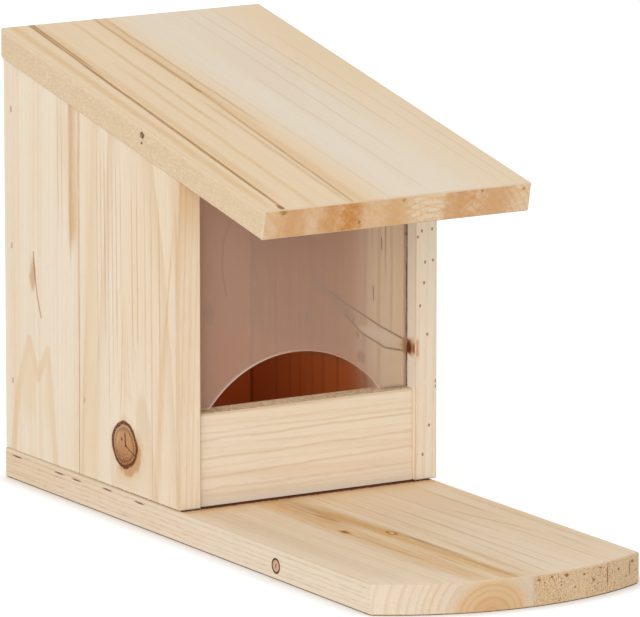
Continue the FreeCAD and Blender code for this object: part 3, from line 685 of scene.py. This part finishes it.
def make_back_panel():
    wood = Timber("back_panel", X, Z, Y, 12.0)
    inside = -Y
    wood.bend_round((28.0, 70.0), 9.0, 3.0)
    wood.grow((0.0, 150.0, 0.02, 0.05), 3.2, rings=0.5, bands=0.8, fibres=0.4)
    # Painted shade on the inner face, deep in the box.
    below_rim = fade_below_rim(wood.along, BACK_FACE)
    wood.darken_inside(wood.on(inside), wood.along, below_rim, wood.across.rise(26.0, 34.0))
    # Painted shade in the corners where the side walls meet it.
    corner = wood.across.rise(WALL_FACE - 1.2, WALL_FACE - 0.4)
    wood.paint(BARK, wood.on(inside) * corner * 0.4)
    wood.patch((26.5, 56.0), (3.5, 6.5), GREY_STAIN, 0.8, inside, ragged=0.7)
    oval = ((34.5, 62.0), (32.7, 72.0), (33.0, 82.0), (36.0, 90.0))
    wood.crack(oval, 0.9, KNOT_BROWN, 0.7, inside)
    wood.paint_seam(wood.along, 0.8, wood.across)
    wood.finish(end_amount=0.3)


def make_front_rail():
    wood = Timber("front_rail", Z, X, Y, 17.0)
    top, front = Z, -Y
    wood.grow((-60.0, -34.0, -0.05, 0.0), 6.0, rings=0.12, bands=0.35, fibres=0.12, sway=5.0)
    for height, slope, amount in (
        (41.2, 0.0, 0.14), (38.6, 0.0, 0.2), (36.0, 0.006, 0.32), (33.0, 0.0, 0.12),
        (29.0, 0.008, 0.26), (25.6, 0.01, 0.12), (21.6, 0.026, 0.26), (17.6, 0.004, 0.22),
        (15.0, 0.01, 0.14),
    ):
        wood.streak((height, -60.0), (height + slope * 120, 60.0), 0.8, LATE_LINE, amount, 2.0)
    wood.paint(AMBER, 0.25, top)
    wood.sawn(wood.on(top), SOFT_BROWN, 0.65, 0.9, holes=0.7)
    # Painted light keeps the lower edge of the rail's front pale, against the shade of the seam
    # below it.
    wood.paint(CREAM, wood.across.rise(BASE_TOP + 2.0, BASE_TOP + 1.0) * 0.5, front)
    wood.paint(TAN, wood.across.rise(RAIL_TOP - 1.3, RAIL_TOP - 0.3) * 0.5, front)
    wood.finish(end_amount=0.3)


def make_base_board():
    wood = Timber("base_board", X, Y, Z, 21.0)
    top = Z
    dark_knot, pale_knot = (-20.6, -59.3), (-7.0, -69.3)
    wood.bend_round(dark_knot, 3.0, 3.0)
    wood.bend_round(pale_knot, 3.0, 3.0)
    wood.grow((-14.8, -1.0, 0.0, 0.0), 3.0, rings=0.2, bands=0.8, fibres=0.26, sway=5.0, dim=0.01)
    wood.paint(HONEY, 0.3, top)
    streak_platform(wood, top)
    wood.patch(dark_knot, (3.0, 7.0), AMBER, 0.7, top, ragged=0.9)
    wood.patch(dark_knot, (1.5, 4.2), LINE_BROWN, 0.8, top, ragged=1.2)
    wood.patch(pale_knot, (4.0, 9.0), AMBER, 0.8, top, ragged=0.9)
    wood.patch(pale_knot, (2.2, 4.2), LINE_BROWN, 0.8, top, ragged=0.7)
    wood.patch(pale_knot, (1.2, 2.0), PEACH, 0.9, top)
    wood.streak((-5.0, -74.0), (-4.0, -112.0), 0.8, LINE_BROWN, 0.45, wander=0.8, face=top)
    wood.streak((-15.0, -30.0), (-14.0, -44.0), 0.9, RUST, 0.7, wander=0.8, feather=4.0, face=top)
    paint_rail_foot(wood, top)
    paint_base_side(wood)
    paint_bow(wood)
    # Painted shade on the platform inside the box.
    wood.darken_inside(wood.on(top) * wood.along.rise(8.0, 16.0), wood.through, 1.0)
    wood.finish(end_amount=0.12)


def streak_platform(wood, top):
    """The warm bands of heartwood along the platform's middle, and fine lines all over it."""
    wood.streaks((
        ((-13.0, 14.0), (-13.0, -50.0), 9.0, TAN, 0.6, 4.0),
        ((-12.5, -20.0), (-5.0, -84.0), 2.2, SOFT_BROWN, 0.4, 1.4),
        ((-10.0, -24.0), (-6.5, -156.0), 6.0, AMBER, 0.7, 3.0),
        ((-5.0, -80.0), (-6.0, -156.0), 1.8, SOFT_BROWN, 0.36, 1.2),
        ((-21.5, 2.0), (-18.0, -150.0), 7.5, AMBER, 0.5, 3.0),
        ((-21.0, -60.0), (-20.0, -110.0), 1.0, SOFT_BROWN, 0.4, 1.5),
        ((-44.0, 0.0), (-44.0, -130.0), 8.0, TAN, 0.18, 3.0),
        ((30.0, 4.0), (32.0, -60.0), 12.0, PEACH, 0.8, 4.0),
    ), top)
    for start, end, amount in (
        ((15.1, -39.0), (15.5, -140.0), 0.5), ((10.5, -95.0), (8.0, -151.0), 0.45),
        ((30.8, -50.0), (38.6, -90.0), 0.5), ((42.8, -100.0), (41.5, -128.0), 0.4),
        ((40.0, -16.0), (40.8, -60.0), 0.5), ((25.0, -10.0), (27.0, -80.0), 0.35),
        ((2.0, -88.0), (1.0, -150.0), 0.55), ((-27.0, -70.0), (-26.0, -140.0), 0.35),
        ((20.0, -60.0), (21.0, -140.0), 0.3), ((34.0, -80.0), (35.0, -140.0), 0.35),
        ((5.0, -20.0), (6.0, -90.0), 0.3), ((48.0, -20.0), (48.0, -110.0), 0.3),
    ):
        wood.streak(start, end, 1.1, SOFT_BROWN, amount * 0.6, face=top)
    heartwood = abs(wood.across + 9.0).rise(24.0, 6.0)
    wood.paint(SOFT_BROWN, wood.fibre.rise(0.02, 0.2) * heartwood * 0.35, top)


def paint_rail_foot(wood, top):
    """Painted shadow browns the platform towards the rail, with painted shade and dirt in the seam
    along the rail's foot.
    """
    ragged = wood.shade.noise(wood.shade.point(wood.across, wood.along * 0.2, 0.0), 1.2, 3.0)
    # Painted shadow that browns the platform towards the rail.
    wood.paint(AMBER, wood.along.rise(-16.0, -2.0) * 0.35, top)
    wood.paint(LINE_BROWN, wood.along.rise(-7.0, 0.0) * 0.5, top)
    # Painted shade with dirt in the seam along the rail's foot.
    seam = (wood.along + ragged * 3.0).rise(-2.2, -0.6)
    wood.paint(BARK, seam * wood.along.rise(2.6, 2.2), top)


def paint_base_side(wood):
    """The long left edge of the base: dark slits, fine lines, a small round knot, and painted shade
    with dirt along the seam.
    """
    left = -X
    for length, height in ((121.0, 9.1), (89.0, 8.8), (76.0, 8.7), (53.0, 9.5), (29.0, 9.0)):
        wood.dot(wood.along, wood.through, (length, height), (4.6, 0.42), BARK, 0.85, left)
    wood.paint(LINE_BROWN, 0.07, left)
    for number, height in enumerate((9.4, 7.2, 5.6, 3.6, 2.2)):
        sway = wood.sways[number % 2] * (1.2 + 0.3 * number)
        apart = abs(wood.through - height + sway)
        wood.paint(RUST, apart.rise(0.6, 0.1) * (wood.grit * 2.0 + 0.4).clamp() * 0.4, left)
    knot = (-68.6, 4.9)
    apart = distance(wood.along - knot[0], wood.through - knot[1])
    wood.paint(KNOT_TAN, apart.rise(2.9, 2.3) * 0.6, left)
    wood.paint(BARK, apart.rise(1.9, 2.4) * apart.rise(3.1, 2.7), left)
    wood.dot(wood.along, wood.through, knot, (0.5, 1.0), CRACK, 0.8, left)
    # Painted shade with dirt along the seam under the wall.
    ragged = wood.shade.noise(wood.shade.point(wood.along, 0.0, 2.0), 0.7, 4.0, 0.8)
    lip = wood.through.rise(BASE_TOP - 0.7, BASE_TOP - 0.2)
    lip = lip * wood.along.rise(-1.0, 1.0) * wood.along.rise(130.0, 30.0)
    wood.paint(BARK, lip * (ragged * 2.6 + 0.4).clamp() * 0.8, left)


def paint_bow(wood):
    """The bowed front end: amber rings round the pith, and torn fibres on the right."""
    front = wood.end * wood.along.rise(-90.0, -100.0)
    heart = (wood.radius + wood.speckle * 3.0).rise(14.5, 11.0)
    wood.paint(SOFT_BROWN, front * 0.1)
    wood.paint(TAN, front * wood.ring * wood.across.rise(-18.0, -30.0) * 0.15)
    wood.paint(GREY_STAIN, front * (wood.cloud.rise(-0.1, 0.1) * 0.08 + 0.07))
    wood.paint(AMBER, front * heart * 0.55)
    wood.paint(RUST, front * wood.radius.rise(9.0, 2.0) * 0.22)
    wood.paint(SOFT_BROWN, front * wood.ring * heart * 0.25)
    torn = front * (wood.across + wood.speckle * 9.0).rise(0.0, 3.0)
    wood.paint(AMBER, torn * 0.5)
    wood.sawn(torn, SOFT_BROWN, 0.24, 1.0)
    wood.paint(HONEY, torn * wood.speckle.rise(0.08, -0.12) * 0.95)
    pits = wood.shade.noise(
        wood.shade.point(wood.across * 1.5, wood.along, wood.through), 1.3, 3.0, 0.6
    )
    where = abs(wood.across - 9.0).rise(9.0, 5.0) + abs(wood.across - 32.0).rise(10.0, 4.0) + 0.2
    wood.paint(KNOT_BROWN, torn * pits.rise(0.07, 0.14) * where.least(1.0) * 0.9)
    face = -Y
    for across, height, half in (
        (3.0, 9.4, 0.8), (5.4, 8.2, 0.5), (8.5, 9.8, 0.7), (12.6, 6.4, 0.5), (15.0, 9.6, 1.1),
        (18.8, 4.8, 0.6), (23.0, 8.8, 0.7), (27.6, 6.0, 0.9), (31.0, 9.8, 0.6), (40.5, 7.6, 0.8),
        (44.8, 4.2, 0.6), (48.4, 8.9, 1.0), (50.6, 5.4, 0.5),
    ):
        size = (half, half * 0.8)
        wood.dot(wood.across, wood.through, (across, height), size, KNOT_BROWN, 0.8, face)
    for across, half in ((34.6, 5.0), (46.8, 3.6)):
        wood.dot(wood.across, wood.through, (across, 6.6), (0.45, half), LINE_BROWN, 0.8, face)


def roof_top_face():
    """The direction of the roof board's upper face, and how far it stands out from the origin."""
    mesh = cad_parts["roof_board"].data
    face = max((p for p in mesh.polygons if p.normal.z > 0.5), key=lambda p: p.area)
    corner = mesh.vertices[face.vertices[0]].co
    fall = face.normal.y / face.normal.z
    return face.normal.normalized(), (corner.z + corner.y * fall) * 1000


def make_roof_board():
    top, height = roof_top_face()
    rearwards = top.cross(X)
    wood = Timber("roof_board", X, rearwards, top, 27.0, origin=(0, 0, height))
    calm = wood.across.rise(-16.0, 2.0)
    wood.plain = calm * -0.7 + 1.0
    wood.grow((34.0, 60.0, 0.0, 0.01), 3.4, rings=0.1, bands=0.5, fibres=0.12, sway=8.0, dim=0.03)
    wood.paint(PALE, calm * wood.across.rise(30.0, 4.0) * 0.3, top)
    wood.paint(HONEY, wood.across.rise(3.0, -14.0) * 0.65, top)
    wood.paint(HONEY, wood.across.rise(24.0, 44.0) * 0.45, top)
    streak_roof(wood, top)
    paint_roof_side(wood)
    paint_roof_front(wood, top, -rearwards)
    wood.finish(end_colour=AMBER, end_amount=0.75)


def streak_roof(wood, top):
    """The dark line near the left edge, the pair down the middle, and paler lines."""
    wood.streaks((
        ((-43.6, 150.0), (-47.8, -66.0), 1.1, SOFT_BROWN, 1.0, 0.5),
        ((-42.2, 150.0), (-43.4, 84.0), 0.9, LINE_BROWN, 0.7, 0.5),
        ((-41.0, 130.0), (-44.6, -50.0), 3.4, AMBER, 0.3, 1.2),
        ((-51.0, 150.0), (-52.0, -60.0), 2.6, AMBER, 0.4, 1.2),
        ((-14.4, 150.0), (-15.8, -70.0), 4.4, AMBER, 0.3, 3.0),
        ((-16.0, 150.0), (-16.4, 60.0), 1.0, SOFT_BROWN, 0.45, 1.0),
        ((-16.2, 90.0), (-16.0, 40.0), 1.6, TAN, 0.7, 1.0),
    ), top)
    wood.crack(((-15.8, 61.0), (-16.4, 56.0), (-15.8, 51.5)), 0.5, LINE_BROWN, 0.6, top)
    wood.streaks((
        ((-16.8, 34.0), (-19.4, -70.0), 1.0, SOFT_BROWN, 0.6, 0.8),
        ((-20.5, 40.0), (-21.0, -66.0), 1.4, TAN, 0.4, 1.4),
        ((-12.0, 130.0), (-11.0, 20.0), 1.2, TAN, 0.5, 1.6),
        ((-33.0, 80.0), (-35.0, -66.0), 1.8, AMBER, 0.3, 2.0),
        ((-26.0, 130.0), (-27.0, 20.0), 1.4, AMBER, 0.4, 2.0),
    ), top)
    for start, end, amount in (
        ((26.9, 132.0), (31.0, 20.0), 0.28), ((34.2, 132.0), (37.0, 0.0), 0.36),
        ((21.0, 132.0), (23.0, -20.0), 0.26), ((12.0, 60.0), (14.0, -60.0), 0.24),
        ((43.5, 100.0), (45.0, -60.0), 0.2), ((50.0, 30.0), (50.0, -66.0), 0.26),
        ((-5.0, 70.0), (-4.0, -66.0), 0.24),
    ):
        wood.streak(start, end, 0.9, TAN, amount * 0.7, face=top)


def paint_roof_side(wood):
    """The sawn left edge of the roof, with a tiny knot and a pinhole below it."""
    left = -X
    wood.paint(HONEY, 0.7, left)
    wood.sawn(wood.on(left) * wood.through.rise(0.5, -2.5), SOFT_BROWN, 0.22, 1.4)
    wood.dot(wood.along, wood.through, (24.0, -3.2), (1.9, 1.6), BARK, 0.9, left)
    wood.dot(wood.along, wood.through, (23.9, -6.2), (0.7, 0.6), BARK, 0.9, left)
    wood.dot(wood.along, wood.through, (24.3, -3.4), (0.9, 0.8), KNOT_TAN, 0.8, left)


def paint_roof_front(wood, top, front):
    """The front end of the roof: amber clouds, freckles, arcs of rings, and a corner knot."""
    rough = wood.shade.noise(wood.here, 260.0, 4.0, 0.75)
    wood.paint(RUST, wood.across.rise(10.0, -4.0) * 0.28, front)
    for place, size, amount in (
        (-20.0, 8.0, 1.0), (-28.0, 8.0, 0.7), (-44.0, 9.0, 0.55), (0.0, 8.0, 0.35),
        (26.0, 10.0, 0.7), (40.0, 14.0, 0.6),
    ):
        apart = abs(wood.across - place) / size
        wood.paint(RUST, (apart + rough * 1.8).rise(1.0, 0.1) * amount, front)
    freckles = wood.speckle.rise(0.08, 0.2) * abs(wood.across + 24.0).rise(16.0, 6.0)
    wood.paint(LINE_BROWN, freckles * 0.55, front)
    arcs = (distance(wood.across - 16.0, wood.through + 30.0) / 2.6).fract()
    arcs = arcs.rise(0.5, 0.9) * arcs.rise(1.0, 0.92) * wood.across.rise(-6.0, 8.0)
    wood.paint(SOFT_BROWN, arcs * 0.3, front)
    for place in ((-47.8, -1.6), (-15.9, -8.0), (2.1, -1.4), (35.0, -1.2), (52.7, -2.0)):
        wood.dot(wood.across, wood.through, place, (0.8, 0.8), CRACK, 0.8, front)
    knot = -48.2
    wood.dot(wood.across, wood.through, (knot, -0.6), (2.2, 1.9), LINE_BROWN, 0.9, front)
    wood.patch((knot, -62.0), (1.5, 4.0), LINE_BROWN, 0.8, top, ragged=0.6)


# The metal and the pane

def make_metal(name, colour, roughness):
    material = new_material(name)
    shade = Shade(material.node_tree)
    scratch = shade.noise(shade.place(), 700.0, 3.0, 0.7)
    dull = tuple(part * 0.55 for part in colour)
    bump = shade.shader("ShaderNodeBump", Strength=0.2, Distance=0.00005, Height=scratch)
    shade.show(shade.shader(
        "ShaderNodeBsdfPrincipled", Base_Color=shade.mix(colour, dull, (scratch * 1.6).most(0.0)),
        Metallic=1.0, Roughness=(scratch * 0.25 + roughness).most(0.1), Normal=bump,
    ))
    return material


def make_pane():
    """Clear acrylic under a veil of haze and painted reflection: thinner on the right, white at its
    cut edges, and not seen in its grooves.
    """
    material = new_material("clear_acrylic")
    shade = Shade(material.node_tree)
    here = shade.place()
    sideways = shade.along(here, X * 1000)
    edge = abs(shade.along(shade.facing(), Y)).rise(0.8, 0.5)
    cloud = shade.noise(here, 30.0, 3.0)
    clear = sideways.rise(12.0, 42.0)
    colour = shade.mix(PANE_TINT, PANE_CLEAR, clear)
    colour = shade.mix(colour, PANE_EDGE, edge)
    free = abs(sideways).rise(WALL_FACE + 0.3, WALL_FACE)
    # The veil of haze and painted reflection, thicker on the left and at the cut edges.
    alpha = (edge * 0.5 + cloud * 0.04 + clear * -0.12 + 0.28) * free
    shade.show(shade.shader(
        "ShaderNodeBsdfPrincipled", Base_Color=colour, Roughness=0.12, Alpha=alpha
    ))
    give("window_pane", material)


def dress():
    make_base_board()
    make_left_side()
    make_right_side()
    make_back_panel()
    make_front_rail()
    make_roof_board()
    make_pane()
    brass = make_metal("brass", (0.78, 0.60, 0.30), 0.32)
    steel = make_metal("steel", (0.62, 0.62, 0.63), 0.38)
    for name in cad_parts:
        if name.endswith("_leaf"):
            give(name, brass)
        elif name.endswith(("_pin", "_screws", "_brads")):
            give(name, steel)


dress()


# The studio: a floor and a world that look white, and soft lamps

WHITE = (1.0, 1.0, 1.0, 1.0)
FLOOR_SIZE = 30.0
FLOOR_DROP = 0.0001
FLOOR_COLOUR = (0.80, 0.80, 0.80, 1.0)

# The camera sees the floor glow by FLOOR_GLOW. Within CONTACT_REACH metres of the object the
# glow falls by up to CONTACT_DEPTH, which makes the contact shadow.
FLOOR_GLOW = 0.5
CONTACT_DEPTH = 0.9
CONTACT_REACH = 0.011

# The world is white where it is seen, and this bright where it only gives light.
WORLD_LEVEL = 0.70

# Each lamp has a name, a place, a power in watts, a size in metres and a place to shine at.
# The white room behind the camera throws light through the pane onto the box's right wall, and
# the window light, a dim lamp beside the left wall, stands in for that.
OBJECT_MIDDLE = (0.0, 0.0, 0.08)
LAMPS = (
    ("key_light", (-2.0, -1.3, 1.3), 20.0, 1.4, OBJECT_MIDDLE),
    ("fill_light", (-1.4, -2.1, 0.4), 12.0, 1.2, OBJECT_MIDDLE),
    ("front_light", (1.4, -2.2, 0.3), 3.0, 1.2, OBJECT_MIDDLE),
    ("window_light", (-0.036, 0.032, 0.095), 0.0125, 0.03, (WALL_FACE / 1000, 0.02, 0.085)),
)


def seen_by(shade, *kinds):
    """1 for the kinds of ray that are named, and 0 for light on its way to a surface."""
    path = shade.tree.nodes.new("ShaderNodeLightPath")
    rays = [Field(shade, path.outputs[kind]) for kind in kinds]
    seen = rays[0]
    for ray in rays[1:]:
        seen = seen.most(ray)
    return seen


def make_floor():
    mesh = bpy.data.meshes.new("floor")
    half = FLOOR_SIZE / 2
    corners = [(-half, -half), (half, -half), (half, half), (-half, half)]
    mesh.from_pydata([(x, y, -FLOOR_DROP) for x, y in corners], [], [(0, 1, 2, 3)])
    floor = bpy.data.objects.new("floor", mesh)
    bpy.context.scene.collection.objects.link(floor)
    material = new_material("studio_floor")
    shade = Shade(material.node_tree)
    diffuse = shade.shader("ShaderNodeBsdfDiffuse", Color=FLOOR_COLOUR)
    open_sky = shade.node("ShaderNodeAmbientOcclusion", None, CONTACT_REACH, out="AO")
    level = open_sky * CONTACT_DEPTH + (FLOOR_GLOW - CONTACT_DEPTH)
    glow = shade.shader("ShaderNodeEmission", Strength=seen_by(shade, "Is Camera Ray") * level)
    shade.show(shade.node("ShaderNodeAddShader", diffuse, glow))
    mesh.materials.append(material)
    floor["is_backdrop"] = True


def make_world():
    world = bpy.data.worlds.new("studio")
    bpy.context.scene.world = world
    world.use_nodes = True
    shade = Shade(world.node_tree)
    seen = seen_by(shade, "Is Camera Ray", "Is Glossy Ray", "Is Transmission Ray")
    level = seen * (1.0 - WORLD_LEVEL) + WORLD_LEVEL
    background = shade.shader("ShaderNodeBackground", Color=WHITE, Strength=level)
    shade.show(background, "ShaderNodeOutputWorld")


def make_lamp(name, place, power, size, aim):
    lamp = bpy.data.lights.new(name, "AREA")
    lamp.energy = power
    lamp.size = size
    holder = bpy.data.objects.new(name, lamp)
    bpy.context.scene.collection.objects.link(holder)
    holder.location = place
    holder.rotation_mode = "QUATERNION"
    holder.rotation_quaternion = (Vector(aim) - Vector(place)).to_track_quat("-Z", "Y")
    holder.visible_camera = False
    holder.visible_glossy = False


make_floor()
make_world()
for row in LAMPS:
    make_lamp(*row)


# The camera stands far off with a long lens, as the photograph's nearly parallel edges show

CAMERA_DISTANCE = 2.932
CAMERA_AZIMUTH = math.radians(-30.98)
CAMERA_HEIGHT = math.radians(12.83)
AIM_AZIMUTH = math.radians(-31.06)
AIM_TILT = math.radians(11.28)
LENS = 450.0


def direction(azimuth, height):
    """From the object towards a place round it. Azimuth 0 is in front."""
    return Vector((
        math.sin(azimuth) * math.cos(height),
        -math.cos(azimuth) * math.cos(height),
        math.sin(height),
    ))


def make_camera():
    lens = bpy.data.cameras.new("camera")
    lens.lens = LENS
    lens.sensor_fit = "HORIZONTAL"
    lens.clip_end = 100.0
    camera = bpy.data.objects.new("camera", lens)
    bpy.context.scene.collection.objects.link(camera)
    backwards = direction(AIM_AZIMUTH, AIM_TILT)
    rightwards = Vector((math.cos(AIM_AZIMUTH), math.sin(AIM_AZIMUTH), 0.0))
    upwards = backwards.cross(rightwards)
    turn = Matrix((rightwards, upwards, backwards)).transposed().to_4x4()
    place = direction(CAMERA_AZIMUTH, CAMERA_HEIGHT) * CAMERA_DISTANCE
    camera.matrix_world = Matrix.Translation(place) @ turn
    bpy.context.scene.camera = camera


make_camera()
bpy.context.scene.view_settings.view_transform = "Standard"

visual_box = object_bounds()
